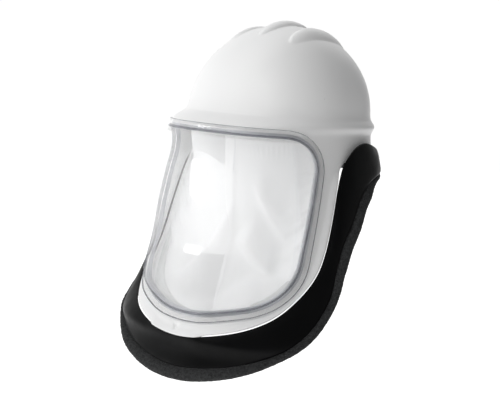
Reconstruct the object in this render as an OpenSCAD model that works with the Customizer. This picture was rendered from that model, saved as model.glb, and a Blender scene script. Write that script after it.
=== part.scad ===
// Air-fed painter's helmet: moulded bump cap with a face frame, wrap-round lens, rubber neck trim,
// foam bead, fabric face seal, head suspension with a ratchet, and an air inlet with its duct.
// Millimetres, +Z up, -Y is the front, +X is the wearer's left.
// The origin is the middle of the headband, where the wearer's head sits.

/* [Dome] */
// Half width of the dome at the brow
dome_half_width = 112; // [108:1:116]
// Reach of the dome in front of the origin
dome_front = 126; // [123:1:129]
// Reach of the dome behind the origin
dome_rear = 129; // [127:1:133]
// Height of the crown above the headband
dome_height = 120; // [117:1:125]
// How far the crown sits behind the middle
dome_lean = 8.5; // [4:0.5:12]
// Roundness of the plan view, where 2 is an ellipse
plan_power = 2.45; // [2.2:0.05:2.7]
// Wall thickness of the shell
wall = 3; // [2.5:0.5:3.5]

/* [Brow and ribs] */
// Height of the brow ridge that runs round the dome
ridge_height = 6; // [3:0.5:8]
// Distance between the crown ribs
rib_pitch = 47; // [42:1:50]
// Half width of a crown rib
rib_half_width = 13; // [10:1:15]
// Height of a crown rib
rib_height = 6.5; // [4:0.5:8]
// Half length of a crown rib
rib_half_length = 70; // [55:1:80]

/* [Face frame] */
// Reach of the face frame in front of the origin
frame_front = 156; // [153:1:160]
// How much wider the jaw is than the dome, 200 mm down
jaw_spread = 38; // [30:1:42]
// How strongly the chin swings forward
chin_reach = 46; // [35:1:50]

/* [Lens] */
// Width of the flat flange round the lens
lens_flange = 8.5; // [8:0.5:10]
// Thickness of the lens
lens_thickness = 2; // [1.5:0.5:2.5]
// How far the lens panel stands proud of its flange
lens_step = 2.5; // [1:0.5:3]

/* [Neck trim] */
// Depth of the rubber trim outside the shell
trim_depth = 11; // [9:0.5:12]
// Wall thickness of the rubber trim
trim_wall = 3; // [2.5:0.5:3.5]
// Height of the foam bead
bead_height = 15; // [12:1:16]
// Depth of the foam bead
bead_depth = 17; // [14:1:18]

/* [Suspension] */
// Half width of the headband
band_half_width = 76; // [72:1:78]
// Reach of the headband in front of the origin
band_front = 95; // [92:1:97]
// Tilt of the nape band
nape_tilt = 20; // [17:1:22]
// Radius of the ratchet knob
knob_radius = 17; // [15:1:18]

/* [Air supply] */
// Outer radius of the breathing tube spigot
spigot_radius = 17; // [16:0.5:18]
// Inner radius of the breathing tube spigot
spigot_bore = 14; // [13:0.5:14.5]
// Tilt of the spigot below the horizontal
spigot_tilt = 15; // [10:1:18]
// Half width of the air duct
duct_half_width = 22; // [18:1:24]

/* [Hidden] */

step = 6;                   // degrees between the columns of the dome
arc = 2.1;                  // millimetres of face for one degree round the plan
ring_z = -12;               // the dome's moulding and the face frame meet here
skirt_turn = 78;            // degrees from the front where the skirt's edge leaves the face frame
skirt_z = -52;              // lower edge of the skirt, under the trim
ridge_z = -8;
ledge_drop = 17;            // the brow swells forward over this height
chin_start = 100;           // the chin swings forward below this depth
jaw_hollow = 6.5;           // the front is a little hollow above the chin
chin_kick = 14;             // and kicks out at its lip
face_centre = -120;         // height of the middle of the face opening

// Free edge of the rubber trim, from the chin to the nape: [degrees from the front, height].
// As far as lip_end it is also the edge of the shell.
trim_top = [
    [0, -266], [20, -255], [36, -237.5], [47, -214], [56, -187], [61, -159], [65.5, -118], [69, -85],
    [73, -61], [78.5, -45], [88, -32.5], [101, -27], [122, -36], [148, -45], [180, -48]
];
lip_end = 8;
// Seam between the rubber trim and the foam bead, at the same stations
trim_seam = [
    [0, -303], [17, -295.5], [32, -282.5], [43.5, -266], [53.5, -244], [61.5, -215], [65.5, -182],
    [70, -152], [77.5, -127], [86, -99], [97, -80], [112, -71], [132, -68], [155, -67], [180, -67]
];
trim_steps = 3;             // columns of the trim between two stations

// Half of the lens outline wraps these rounds from the top down: [centre across the face, height, radius]
lens_rounds = [[77, -61, 47], [32.5, -163, 78], [0, -150.5, 100]];

// ---- shape rules ----

function ease(t) = let (u = min(max(t, 0), 1)) u * u * (3 - 2 * u);
function fall(z) = -z / 200;
function plan(turn, side, reach) =
    pow(pow(abs(sin(turn)) / side, plan_power) + pow(abs(cos(turn)) / reach, plan_power),
        -1 / plan_power);

// Sideways and forward reach of the moulding at a height below the brow
function jaw_side(z) = dome_half_width + jaw_spread * fall(z) * (1 - 0.17 * fall(z));
function jaw_front(z) = frame_front + 9 * fall(z) - 13 * pow(fall(z), 2)
    + chin_reach * pow(max(0, fall(z) - chin_start / 200), 2)
    - jaw_hollow * exp(-pow((z + 172) / 36, 2))
    + chin_kick * exp(-pow((z + 263) / (z > -263 ? 24 : 14), 2));
function front_reach(z) = dome_front + (jaw_front(z) - dome_front) * ease(-z / ledge_drop);
function ridge(turn, z) = ridge_height * (1 - 0.35 * max(0, cos(turn)))
    * exp(-pow((z - ridge_z) / 8, 2));

// A point on the moulding below the dome, moved outward by off
function skin(turn, z, off = 0) =
    let (reach = cos(turn) > 0 ? front_reach(z) : dome_rear,
         r = plan(turn, jaw_side(z) + off, reach + off) + ridge(turn, z))
    [r * sin(turn), -r * cos(turn), z];

// Height of the crown ribs above the dome, each one leaf-shaped in plan
function rib(x, y, middle) =
    let (along = 1 - pow((y - dome_lean) / rib_half_length, 2),
         half = rib_half_width * sqrt(max(0.0001, along)),
         across = 1 - pow((x - middle) / half, 2))
    along > 0 && across > 0 ? rib_height * sqrt(across) * sqrt(along) : 0;
function ribs(x, y) = rib(x, y, -rib_pitch) + rib(x, y, 0) + rib(x, y, rib_pitch);

// A point on the dome at an elevation from 0 at the brow to 90 at the crown
function dome(turn, lift, inset = 0) =
    let (reach = cos(turn) > 0 ? dome_front : dome_rear,
         z = (dome_height - inset) * sin(lift),
         r = lift == 90 ? 0
             : plan(turn, dome_half_width - inset, reach - inset) * cos(lift) + ridge(turn, z),
         x = r * sin(turn),
         y = -r * cos(turn) + dome_lean * sin(lift))
    [x, y, z + (inset > 0 ? 0 : ribs(x, y))];

// Smooth curve through the stations of a list that runs from front centre to rear centre
function mirrored(list, i) = let (n = len(list) - 1)
    i < 0 ? [-list[-i][0], list[-i][1]]
    : i > n ? [360 - list[2 * n - i][0], list[2 * n - i][1]] : list[i];
function curve(list, s) =
    let (i = min(floor(s), len(list) - 2), t = s - i,
         a = mirrored(list, i - 1), b = mirrored(list, i), c = mirrored(list, i + 1),
         d = mirrored(list, i + 2))
    0.5 * (2 * b + (c - a) * t + (2 * a - 5 * b + 4 * c - d) * t * t
        + (3 * b - a - 3 * c + d) * t * t * t);
// The same for s beyond the rear centre, where the curve returns on the other side
function loop_curve(list, s) = let (n = len(list) - 1, p = curve(list, s > n ? 2 * n - s : s))
    s > n ? [-p[0], p[1]] : p;

// Directions of the lines that join one round to the next
lens_turns = [90,
    for (i = [0:1]) let (a = lens_rounds[i], b = lens_rounds[i + 1], gap = [a[0] - b[0], a[1] - b[1]])
        atan2(gap[1], gap[0]) - acos((b[2] - a[2]) / norm(gap)),
    -90];
function lens_arc(i, inset) = let (c = lens_rounds[i]) [
    for (k = [0:12]) let (a = lens_turns[i] + (lens_turns[i + 1] - lens_turns[i]) * k / 12)
        [c[0] + (c[2] - inset) * cos(a), c[1] + (c[2] - inset) * sin(a)]
];
function between(a, b, n) = [for (k = [1:n - 1]) a + (b - a) * k / n];
// Half outline of the lens in the face plane, moved in by inset
function lens_half(inset) =
    let (a = lens_arc(0, inset), b = lens_arc(1, inset), c = lens_arc(2, inset), top = [0, a[0][1]])
    concat([top], between(top, a[0], 4), a, between(a[12], b[0], 8), b, between(b[12], c[0], 3), c);
// The same as [angle round the face centre, distance]
function polar(points) = [
    for (i = [len(points) - 1:-1:0]) let (p = points[i], d = [p[0], p[1] - face_centre])
        [atan2(d[1], d[0]), norm(d)]
];
// Point of the lens outline in the direction a, as [degrees from the front, height]
function lens_at(table, a) = let (r = lookup(a, table)) [r * cos(a) / arc, face_centre + r * sin(a)];

// ---- mesh helpers ----

// Quads between neighbouring rows of points, as one list of faces that starts at vertex first
function quads(rows, cols, first = 0, closed = false, flip = false) = [
    for (i = [0:rows - 2], j = [0:cols - (closed ? 1 : 2)])
        let (k = (j + 1) % cols,
             q = [first + i * cols + j, first + i * cols + k,
                  first + (i + 1) * cols + k, first + (i + 1) * cols + j],
             f = flip ? [q[3], q[2], q[1], q[0]] : q)
        each [[f[0], f[1], f[2]], [f[0], f[2], f[3]]]
];
// One closed solid from patches, each [grid of rows, closed, flip]; equal points are merged
module patches(list) {
    sizes = [for (p = list) len(p[0]) * len(p[0][0])];
    starts = [for (i = 0, s = 0; i < len(list); s = s + sizes[i], i = i + 1) s];
    polyhedron(
        points = [for (p = list, row = p[0], v = row) v],
        faces = [for (i = [0:len(list) - 1])
            each quads(len(list[i][0]), len(list[i][0][0]), starts[i], list[i][1], list[i][2])],
        convexity = 12);
}
// A closed ring swept through a list of cross-sections
module ring(sections) patches([[concat(sections, [sections[0]]), true, true]]);

// ---- shell ----

turns = [for (a = [step - 180:step:180]) a];
lifts = [0, 5, 10, 18, 27, 36, 45, 53, 60, 66, 72, 77, 82, 86, 90];
inner_lifts = [0, 10, 22, 36, 50, 64, 78, 90];
front_turns = [for (a = [0:step:skirt_turn]) a];
skirt_rows = [ring_z, -22, -32, -42, skirt_z];
// Stations of the lip along the trim; the last four shape the tab under the chin
lip_stations = [for (i = [2 * lip_end:-1:2]) i / 2, 0.66, 0.5, 0.25, 0];
tab_turn = 11.5;              // half width of the chin tab, in degrees
tab_drop = 3;
function tab(turn) = tab_drop * ease((tab_turn + 1.5 - turn) / 3);
// Outer boundary of one half of the face frame, as [degrees from the front, height]
frame_edge = concat(
    [for (a = front_turns) [a, ring_z]],
    [for (i = [1:len(skirt_rows) - 1]) [skirt_turn, skirt_rows[i]]],
    [for (s = lip_stations) let (p = curve(trim_top, s)) [p[0], p[1] - tab(p[0])]]);
lip_first = len(front_turns) + len(skirt_rows) - 1;
frame_rows = [0, 0.25, 0.5, 0.75, 0.9, 1];
opening_table = polar(lens_half(lens_flange + 1));

// The lip of the shell flares outward along the trim, and more at the chin tab
function lip_flare(turn) = 2.5 + 2.5 * tab(turn) / tab_drop;
function flare(i, t) = (i >= lip_first ? lip_flare(frame_edge[i][0]) : 0) * ease((t - 0.6) / 0.4);
function frame_grid(side, off) = [
    for (t = frame_rows) [
        for (i = [0:len(frame_edge) - 1])
            let (o = frame_edge[i], w = lens_at(opening_table, atan2(o[1] - face_centre, o[0] * arc)),
                 p = t == 1 ? o : w + (o - w) * t)
            skin(side * p[0], p[1], off + flare(i, t))
    ]
];
function dome_grid(inset) = [
    for (e = inset > 0 ? inner_lifts : lifts) [for (a = turns) dome(a, e, inset)]
];
function brow_grid(off) = [for (z = [0, -4, -8, ring_z]) [for (a = turns) skin(a, z, off)]];
function skirt_grid(off) = [
    for (z = skirt_rows) [for (a = [skirt_turn:step:360 - skirt_turn]) skin(a > 180 ? a - 360 : a, z, off)]
];
function last(list) = list[len(list) - 1];

module shell_body() {
    right = frame_grid(1, 0);
    right_in = frame_grid(1, -wall);
    left = frame_grid(-1, 0);
    left_in = frame_grid(-1, -wall);
    skirt = skirt_grid(0);
    skirt_in = skirt_grid(-wall);
    lip = [for (i = [lip_first - 1:len(frame_edge) - 1]) i];
    patches([
        [dome_grid(0), true, true], [dome_grid(wall), true, false],
        [brow_grid(0), true, false], [brow_grid(-wall), true, true],
        [skirt, false, false], [skirt_in, false, true],
        [right, false, true], [right_in, false, false],
        [left, false, false], [left_in, false, true],
        [[right[0], right_in[0]], false, false], [[left[0], left_in[0]], false, true],
        [[last(skirt), last(skirt_in)], false, false],
        [[for (g = [right, right_in]) [for (i = lip) last(g)[i]]], false, true],
        [[for (g = [left, left_in]) [for (i = lip) last(g)[i]]], false, false]
    ]);
}

// The air inlet stands on the back of the dome and points backwards and a little down
inlet_seat = [0, 128, 20];
seat_tilt = 8;              // the dome's back leans forward by this much at the inlet
module at_inlet() translate(inlet_seat) rotate([-90 - spigot_tilt, 0, 0]) children();
module at_seat() translate(inlet_seat) rotate([-90 + seat_tilt, 0, 0]) children();

module shell() color("white") difference() {
    shell_body();
    at_inlet() translate([0, 0, -20]) cylinder(r = spigot_radius + 1.5, h = 40, $fn = 48);
}

// ---- lens and gasket ----

lens_gap = 1.8;             // from the shell to the lens
gasket_top = 0.6;           // the gasket ends a little short of the lens
gasket_edge = 5;            // from the lens's rim to the gasket
directions = [for (a = [90:-7.5:-90]) a];

// Closed outline in [degrees, height], moved in by inset and shrunk towards the centre by size
function outline(inset, size = 1) =
    let (table = polar(lens_half(inset)),
         half = [for (a = directions) let (p = lens_at(table, a))
             [p[0] * size, face_centre + (p[1] - face_centre) * size]])
    concat(half, [for (i = [len(half) - 2:-1:1]) [-half[i][0], half[i][1]]]);
function band(inset, off, size = 1) = [for (p = outline(inset, size)) skin(p[0], p[1], off)];

module lens() color("LightCyan", 0.35) {
    panel = lens_flange + 3;
    rows = [[0, 0, 1], [gasket_edge, 0, 1], [lens_flange, 0, 1],
        [panel, 1, 1], [panel, 1, 0.7], [panel, 1, 0.4], [panel, 1, 0]];
    outer = [for (r = rows) band(r[0], lens_gap + lens_thickness + r[1] * lens_step, r[2])];
    inner = [for (r = rows) band(r[0], lens_gap + r[1] * lens_step, r[2])];
    patches([[outer, true, false], [inner, true, true], [[outer[0], inner[0]], true, true]]);
}

module lens_gasket() color("Silver") {
    hook = lens_flange + 1;
    section = [[gasket_edge, 0], [gasket_edge, gasket_top], [lens_flange, gasket_top],
        [hook + 1.2, gasket_top], [hook + 1.2, -wall - 1.5],
        [hook, -wall - 1.5], [hook, 0]];
    loops = [for (c = section) band(c[0], c[1])];
    patches([[concat(loops, [loops[0]]), true, false]]);
}

// ---- rubber trim and foam bead ----

stations = [for (i = [0:2 * (len(trim_top) - 1) * trim_steps - 1]) i / trim_steps];
// 0 where the trim butts against the shell's lip, 1 where it lies over the shell
function over(s) = let (n = len(trim_top) - 1) ease(((s > n ? 2 * n - s : s) - lip_end) / 1.5);
function trim_at(s, t) = let (a = loop_curve(trim_top, s), b = loop_curve(trim_seam, s)) a + (b - a) * t;
// Unit direction away from the trim at the seam, in the face plane
function seam_out(s) =
    let (a = loop_curve(trim_seam, s - 0.05), b = loop_curve(trim_seam, s + 0.05),
         across = b[0] - a[0] < -180 ? b[0] - a[0] + 360 : b[0] - a[0],
         d = [across * arc, b[1] - a[1]])
    [d[1], -d[0]] / norm(d);

module neck_trim() color([0.09, 0.09, 0.1]) ring([
    for (s = stations)
        let (n = len(trim_top) - 1, o = over(s), d = trim_depth,
             lift = (1 - o) * (lip_flare(curve(trim_top, s > n ? 2 * n - s : s)[0]) - 2.5),
             section = [[0, 2.6 + 4.4 * o + lift], [0.1, d * 0.5 + 2.6 * o + lift * 0.5],
                 [0.26, d * 0.75 + 1.2 * o], [0.6, d], [1, d + 1],
                 [1, d + 1 - trim_wall], [0.3, d * 0.75 - trim_wall], [0.08, 0.4]])
        [for (c = section) let (p = trim_at(s, c[0])) skin(p[0], p[1], c[1])]
]);

// The bead is full at the chin and the sides, and thinner along the jaw and behind
function bead_size(s) = let (n = len(trim_top) - 1, u = s > n ? 2 * n - s : s)
    [bead_height * (1 - 0.4 * ease((u - 0.3) / 2.5) + 0.48 * ease((u - 4.5) / 3)
        - 0.4 * ease((u - 9.3) / 1.8)),
     bead_depth * (1 - 0.35 * ease((u - 9.3) / 1.8))];

module foam_bead() color([0.2, 0.21, 0.22]) ring([
    for (s = stations)
        let (p = loop_curve(trim_seam, s), n = seam_out(s), size = bead_size(s))
        [for (k = [0:7])
            let (a = 202.5 - 45 * k, c = [cos(a), sin(a)] / cos(22.5),
                 out = size[0] / 2 * (1 + c[0]))
            skin(p[0] + n[0] * out / arc, p[1] + n[1] * out, size[1] / 2 * (1 + c[1]))]
]);

// ---- fabric face seal ----

seal_end = 9;               // the seal is fixed from one ear round the chin to the other
hem_turn = 64;              // degrees from the front where the hem ends
hem_z = -30;
seal_sag = 48;              // how far the fabric hangs back from the face frame
fabric = 3;
seal_stations = [for (i = [-seal_end * 2:seal_end * 2]) i / 2];
function seal_edge(s) = let (p = curve(trim_top, abs(s)), up = 7 * (1 - abs(s) / seal_end))
    [sign(s) * p[0] * 0.955, p[1] + up];
function hem_at(s) = [s / seal_end * hem_turn, hem_z];
function seal_off(s, t) = -wall - 1 - seal_sag * (1 - pow(s / seal_end, 2)) * sin(180 * pow(t, 0.8) * 0.8);
function seal_point(s, t, off = 0) = let (a = seal_edge(s), p = a + (hem_at(s) - a) * t)
    skin(p[0], p[1], seal_off(s, t) + off);

// Two skins of one sheet joined round their edges
module sheet(front, back) {
    n = len(front[0]) - 1;
    patches([
        [front, false, false], [back, false, true],
        [[front[0], back[0]], false, true], [[last(front), last(back)], false, false],
        [[[for (r = front) r[0]], [for (r = back) r[0]]], false, false],
        [[[for (r = front) r[n]], [for (r = back) r[n]]], false, true]
    ]);
}
module face_seal() color("WhiteSmoke") {
    rows = [0, 0.06, 0.14, 0.25, 0.4, 0.55, 0.7, 0.85, 1];
    sheet([for (t = rows) [for (s = seal_stations) seal_point(s, t, -fabric)]],
        [for (t = rows) [for (s = seal_stations) seal_point(s, t)]]);
}

// A round cord through level points, closed at both ends
module cord(points, radius) {
    n = len(points) - 1;
    circles = [for (i = [0:n])
        let (d = points[min(i + 1, n)] - points[max(i - 1, 0)],
             side = cross(d, [0, 0, 1]) / norm(cross(d, [0, 0, 1])))
        [for (a = [0:45:315]) points[i] + radius * (cos(a) * side + [0, 0, sin(a)])]];
    caps = [for (i = [0, n]) [for (a = [0:45:315]) points[i]]];
    patches([[concat([caps[0]], circles, [caps[1]]), true, false]]);
}
module face_seal_hem() color("White")
    cord([for (s = seal_stations) seal_point(s, 1, -fabric / 2) + [0, 0, 3.5]], 3.5);

// A rigid strip that clamps the fabric inside the lip of the shell
module seal_retainer() color("Gainsboro") {
    strip = [0.02, 0.06];
    deep = -fabric - 0.1;
    sheet([for (t = strip) [for (s = seal_stations) seal_point(s, t, deep - 1.8)]],
        [for (t = strip) [for (s = seal_stations) seal_point(s, t, deep)]]);
}

// ---- head suspension ----

band_back = 60;             // the straight sides of the headband end here
band_wall = 2.2;
band_low = -10;
band_high = 16;
key_turns = [55, 125, -125, -55];
strap_radius = 122;
strap_centre = -37;
strap_foot = 112;           // the straps end this far from the middle

function band_line(grow) = concat(
    [[band_half_width + grow, band_back]],
    [for (a = [0:-6:-180]) [(band_half_width + grow) * cos(a), (band_front + grow) * sin(a)]],
    [[-band_half_width - grow, band_back]]);
module strip_2d(outer, inner) polygon(concat(outer, [for (i = [len(inner) - 1:-1:0]) inner[i]]));

module headband() color([0.16, 0.17, 0.18]) difference() {
    translate([0, 0, band_low]) linear_extrude(band_high - band_low)
        strip_2d(band_line(band_wall), band_line(0));
    // Adjustment holes along the sides
    for (side = [-1, 1], k = [0:5])
        translate([side * band_half_width, 10 + 8 * k, (band_low + band_high) / 2])
            rotate([0, 90, 0]) cylinder(r = 1.8, h = 10, center = true, $fn = 24);
}
function brow_line(grow) = [
    for (a = [-25:-5:-155]) [(band_half_width + grow) * cos(a), (band_front + grow) * sin(a)]
];
module sweatband() color([0.3, 0.31, 0.33])
    translate([0, 0, band_low - 2]) linear_extrude(band_high - band_low + 4)
        strip_2d(brow_line(-0.1), brow_line(-4.5));
module strap(turn, lift) {
    foot = acos(strap_foot / strap_radius);
    translate([0, 0, strap_centre]) rotate([90, 0, turn - 90]) rotate([0, 0, foot])
        rotate_extrude(angle = 180 - 2 * foot, $fn = 120)
            translate([strap_radius + lift, -9.5]) square([1.4, 19]);
}
module crown_straps() color([0.14, 0.14, 0.15]) {
    strap(key_turns[0], 0);
    strap(-key_turns[0], 1.5);
}
module crown_pad() color([0.3, 0.31, 0.33]) intersection() {
    translate([0, 0, strap_centre]) difference() {
        sphere(r = strap_radius - 0.3, $fn = 96);
        sphere(r = strap_radius - 8, $fn = 96);
    }
    translate([0, 0, 60]) cylinder(r = 40, h = 40, $fn = 64);
}
module key(turn) {
    hook = cos(turn) > 0 ? 83.4 : 96;
    rotate([0, 0, turn - 90]) {
        translate([113, -12, -2]) cube([3, 24, 28]);
        translate([strap_foot - 7, -11.5, 7.5]) cube([9, 23, 3]);
        translate([hook, -5, 2.5]) cube([strap_foot - hook + 2, 10, 3]);
        translate([hook, -7, -6]) cube([2.5, 14, 18]);
        for (y = [-11.5, 8.5]) translate([strap_foot - 7, y, 7.5]) cube([9, 3, 9]);
    }
}
module suspension_keys() color([0.12, 0.12, 0.13]) for (t = key_turns) key(t);

// ---- nape band and ratchet, drawn level and then tilted down at the back ----

nape_pivot = [0, 30, 0];
nape_start = 20;            // the nape band curves behind this
nape_half = 74.5;
nape_reach = 50;
nape_wall = 2;
housing_back = 79;
cover_wall = 2;
knob_front = 81.6;
knob_depth = 9.4;
module at_nape() translate(nape_pivot) rotate([-nape_tilt, 0, 0]) children();
module along_nape(y) translate([0, y, 0]) rotate([-90, 0, 0]) children();
function nape_line(grow, from = 0, to = 180) = [
    for (a = [from:6:to]) [(nape_half + grow) * cos(a), nape_start + (nape_reach + grow) * sin(a)]
];

module nape_band() color([0.16, 0.17, 0.18]) at_nape() translate([0, 0, -11]) linear_extrude(22)
    strip_2d(concat([[nape_half, 0]], nape_line(0), [[-nape_half, 0]]),
        concat([[nape_half - nape_wall, 0]], nape_line(-nape_wall), [[nape_wall - nape_half, 0]]));
module nape_pad() color([0.3, 0.31, 0.33]) at_nape() translate([0, 0, -16]) linear_extrude(32)
    strip_2d(nape_line(-nape_wall - 0.1, 48, 132), nape_line(-nape_wall - 6, 48, 132));
module ratchet_housing() color([0.1, 0.1, 0.11]) at_nape() difference() {
    translate([0, 0, -15]) linear_extrude(30) polygon(concat(
        nape_line(0.1, 66, 114),
        [[-30, housing_back - 4], [-26, housing_back], [26, housing_back], [30, housing_back - 4]]));
    along_nape(72.6) cylinder(r = 10.5, h = 20, $fn = 48);
    along_nape(70.8) cylinder(r = 3.05, h = 10, $fn = 32);
    for (x = [-22, 22]) translate([x, 0, 0]) along_nape(73.5) cylinder(r = 1.2, h = 10, $fn = 24);
}
module ratchet_cover() color([0.14, 0.14, 0.15]) at_nape() difference() {
    along_nape(housing_back) linear_extrude(cover_wall) offset(r = 4) square([46, 20], center = true);
    along_nape(60) cylinder(r = 6.05, h = 40, $fn = 48);
    for (x = [-22, 22]) translate([x, 0, 0]) along_nape(60) cylinder(r = 1.4, h = 40, $fn = 24);
}
module ratchet_screws() color("Silver") at_nape() for (x = [-22, 22]) translate([x, 0, 0]) difference() {
    union() {
        along_nape(73.6) cylinder(r = 1.2, h = 7.6, $fn = 24);
        along_nape(housing_back + cover_wall) cylinder(r = 2.8, h = 1.4, $fn = 32);
    }
    along_nape(housing_back + cover_wall + 0.6) translate([-2.2, -0.4, 0]) cube([4.4, 0.8, 2]);
    along_nape(housing_back + cover_wall + 0.6) translate([-0.4, -2.2, 0]) cube([0.8, 4.4, 2]);
}
module ratchet_knob() color([0.08, 0.08, 0.09]) at_nape() along_nape(knob_front) difference() {
    cylinder(r = knob_radius, h = knob_depth, $fn = 96);
    // Finger scallops round the rim and a dished face
    for (a = [0:30:330])
            rotate([0, 0, a]) translate([knob_radius + 2, 0, -1])
                cylinder(r = 3.2, h = knob_depth + 2, $fn = 32);
    translate([0, 0, knob_depth - 2]) cylinder(r = knob_radius - 4.5, h = 3, $fn = 64);
}
module ratchet_pinion() color("WhiteSmoke") at_nape() {
    along_nape(70.9) cylinder(r = 3, h = 3, $fn = 32);
    along_nape(77.5) cylinder(r = 6, h = knob_front - 77.5, $fn = 48);
    along_nape(73) linear_extrude(4.5) for (a = [0:36:324]) rotate(a)
        polygon([[0, -2.6], [7.2, -1.6], [9.4, -0.8], [9.4, 0.8], [7.2, 1.6], [0, 2.6]]);
}

// ---- air supply ----

spigot_out = 34;
spigot_in = 20;
flange_radius = 27;
plenum_front = 98;
plenum_back = 118.4;
plenum_low = 2;
plenum_high = 45;
plenum_wall = 1.8;
duct_middle = 8;            // the duct curves round this line behind the origin
duct_outer = 113;
duct_inner = 102;
duct_wall = 1.4;
duct_back = 23;             // degrees above the level at the back
duct_end = 16;              // degrees above the level at the front
flap_hinge = [0, -104.5, 26];
flap_length = 20;

module inlet_spigot() color([0.1, 0.1, 0.11]) difference() {
    union() {
        at_inlet() translate([0, 0, -spigot_in])
            cylinder(r = spigot_radius, h = spigot_in + spigot_out, $fn = 64);
        at_seat() translate([0, 0, 0.6]) cylinder(r = flange_radius, h = 3.4, $fn = 72);
        at_inlet() translate([0, 0, 10]) cylinder(r = spigot_radius + 2.4, h = 3, $fn = 64);
        // Two lugs of the bayonet
        for (a = [0, 180]) at_inlet() rotate([0, 0, a])
            translate([spigot_radius - 1, -3, spigot_out - 9]) cube([3.2, 6, 4]);
    }
    // The tube's nose stops at a shoulder, where the bore narrows
    at_inlet() translate([0, 0, 6]) cylinder(r = spigot_bore, h = 60, $fn = 64);
    at_inlet() translate([0, 0, -60]) cylinder(r = spigot_bore - 1, h = 120, $fn = 64);
}
module inlet_seal() color([0.05, 0.05, 0.05]) at_seat() translate([0, 0, -1.2]) difference() {
    cylinder(r = flange_radius - 0.5, h = 1.8, $fn = 72);
    translate([0, 0, -1]) cylinder(r = spigot_radius + 4, h = 4, $fn = 64);
}
module inlet_locknut() color([0.13, 0.13, 0.14]) at_inlet() translate([0, 0, -spigot_in]) difference() {
    cylinder(r = 22, h = 3, $fn = 8);
    translate([0, 0, -1]) cylinder(r = spigot_radius + 0.05, h = 6, $fn = 64);
}
module inlet_plenum() color([0.9, 0.91, 0.9]) difference() {
    w = 26;
    translate([0, 0, plenum_low]) linear_extrude(plenum_high - plenum_low) hull() {
        for (x = [-w + 8, w - 8]) translate([x, plenum_front + 8]) circle(r = 8, $fn = 48);
        for (x = [-w + 3, w - 3]) translate([x, plenum_back - 3]) circle(r = 3, $fn = 32);
    }
    translate([0, 0, plenum_low + plenum_wall])
        linear_extrude(plenum_high - plenum_low - 2 * plenum_wall) hull() {
        for (x = [-w + 8, w - 8]) translate([x, plenum_front + 8]) circle(r = 8 - plenum_wall, $fn = 48);
        for (x = [-w + 3, w - 3]) translate([x, plenum_back - 3]) circle(r = 3 - plenum_wall, $fn = 32);
    }
    at_inlet() translate([0, 0, -23]) cylinder(r = spigot_radius + 0.1, h = 20, $fn = 64);
    translate([-duct_half_width, plenum_front + 2, plenum_high - 3]) cube([2 * duct_half_width, 11, 6]);
}
module duct_section(grow) translate([duct_inner - grow, -duct_half_width - grow])
    square([duct_outer - duct_inner + 2 * grow, 2 * (duct_half_width + grow)]);
module duct_sweep(from, to) translate([0, duct_middle, 0]) rotate([90, 0, -90]) rotate([0, 0, from])
    rotate_extrude(angle = to - from, $fn = 144) children();
module air_duct() color([0.92, 0.93, 0.92]) {
    duct_sweep(duct_end, 180 - duct_back) difference() {
        duct_section(0);
        duct_section(-duct_wall);
    }
    // Ears that carry the deflector's pin
    for (x = [-duct_half_width - 0.4, duct_half_width - 2]) difference() {
        translate([x, 0, 0]) rotate([90, 0, 90]) linear_extrude(2.4) hull() {
            translate([flap_hinge[1], flap_hinge[2]]) circle(r = 3.4, $fn = 32);
            translate([-99, 31.5]) circle(r = 3, $fn = 32);
        }
        translate([x - 1, flap_hinge[1], flap_hinge[2]]) rotate([0, 90, 0])
            cylinder(r = 1.05, h = 5, $fn = 32);
    }
}
module duct_saddle() color([0.13, 0.13, 0.14]) duct_sweep(76, 104)
    translate([duct_outer + 0.05, -9]) square([2.2, 18]);
module outlet_foam() color([0.25, 0.26, 0.27])
    duct_sweep(duct_end + 1, duct_end + 4) duct_section(-duct_wall - 0.05);
module deflector_flap() color([0.13, 0.13, 0.14]) {
    half = duct_half_width - 2.4;
    difference() {
        union() {
            translate([-half, flap_hinge[1], flap_hinge[2]]) rotate([0, 90, 0])
                cylinder(r = 2.6, h = 2 * half, $fn = 32);
            translate([-half, flap_hinge[1] - 0.9, flap_hinge[2] - flap_length])
                cube([2 * half, 1.8, flap_length]);
            // Stiffening ribs and the finger edge
            for (x = [-half, -0.8, half - 1.6])
                translate([x, flap_hinge[1] - 2.4, flap_hinge[2] - flap_length]) cube([1.6, 3, flap_length]);
            translate([-half, flap_hinge[1] - 2.4, flap_hinge[2] - flap_length]) cube([2 * half, 4, 2]);
        }
        translate([-half - 1, flap_hinge[1], flap_hinge[2]]) rotate([0, 90, 0])
            cylinder(r = 1, h = 2 * half + 2, $fn = 32);
    }
}
module deflector_pin() color("Silver") translate([-duct_half_width, flap_hinge[1], flap_hinge[2]])
    rotate([0, 90, 0]) cylinder(r = 1, h = 2 * duct_half_width, $fn = 32);

shell();
lens();
lens_gasket();
neck_trim();
foam_bead();
face_seal();
face_seal_hem();
seal_retainer();
headband();
sweatband();
crown_straps();
crown_pad();
suspension_keys();
nape_band();
nape_pad();
ratchet_housing();
ratchet_cover();
ratchet_screws();
ratchet_knob();
ratchet_pinion();
inlet_spigot();
inlet_seal();
inlet_locknut();
inlet_plenum();
air_duct();
duct_saddle();
outlet_foam();
deflector_flap();
deflector_pin();
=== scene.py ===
# Looks of an air-fed painter's helmet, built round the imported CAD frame.
# The shape rules repeat those of the CAD model.
import math

import bmesh
import bpy
import numpy as np
from mathutils import Matrix, Vector


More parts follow.
